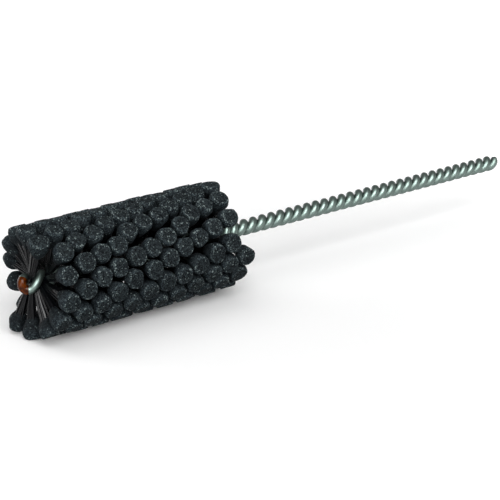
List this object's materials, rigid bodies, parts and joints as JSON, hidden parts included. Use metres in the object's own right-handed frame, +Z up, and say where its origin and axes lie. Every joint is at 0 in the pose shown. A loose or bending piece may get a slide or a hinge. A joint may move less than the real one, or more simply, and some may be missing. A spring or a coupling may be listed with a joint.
{
  "type": "flexible bore hone",
  "caption": "Flexible bore brush: nylon bundles tipped with ground abrasive globules, pinched in a twisted steel wire shank with a folded nose.",
  "frame": {"origin": "centre of the shank's cut end, on the brush axis", "axes": "+X out of the shank's cut end along the brush axis, +Z up with the brush lying level on its head"},
  "size_m": [0.2032, 0.036, 0.036],
  "materials": {
    "steel_wire": "drawn and galvanised, satin",
    "tip_dip": "amber dip, glossy",
    "nylon": "black nylon monofilament, glossy",
    "abrasive": "bonded silicon carbide grit, rough and sparkling"
  },
  "bodies": {
    "root": {"wire_stem": "steel_wire", "nose_dip": "tip_dip", "globules_ring_01": "abrasive", "globules_ring_02": "abrasive", "globules_ring_03": "abrasive", "globules_ring_04": "abrasive", "globules_ring_05": "abrasive", "globules_ring_06": "abrasive", "globules_ring_07": "abrasive", "globules_ring_08": "abrasive", "globules_ring_09": "abrasive", "globules_ring_10": "abrasive", "globules_ring_11": "abrasive", "globules_ring_12": "abrasive", "bristles_ring_01": "nylon", "bristles_ring_02": "nylon", "bristles_ring_03": "nylon", "bristles_ring_04": "nylon", "bristles_ring_05": "nylon", "bristles_ring_06": "nylon", "bristles_ring_07": "nylon", "bristles_ring_08": "nylon", "bristles_ring_09": "nylon", "bristles_ring_10": "nylon", "bristles_ring_11": "nylon", "bristles_ring_12": "nylon"}
  },
  "joints": []
}
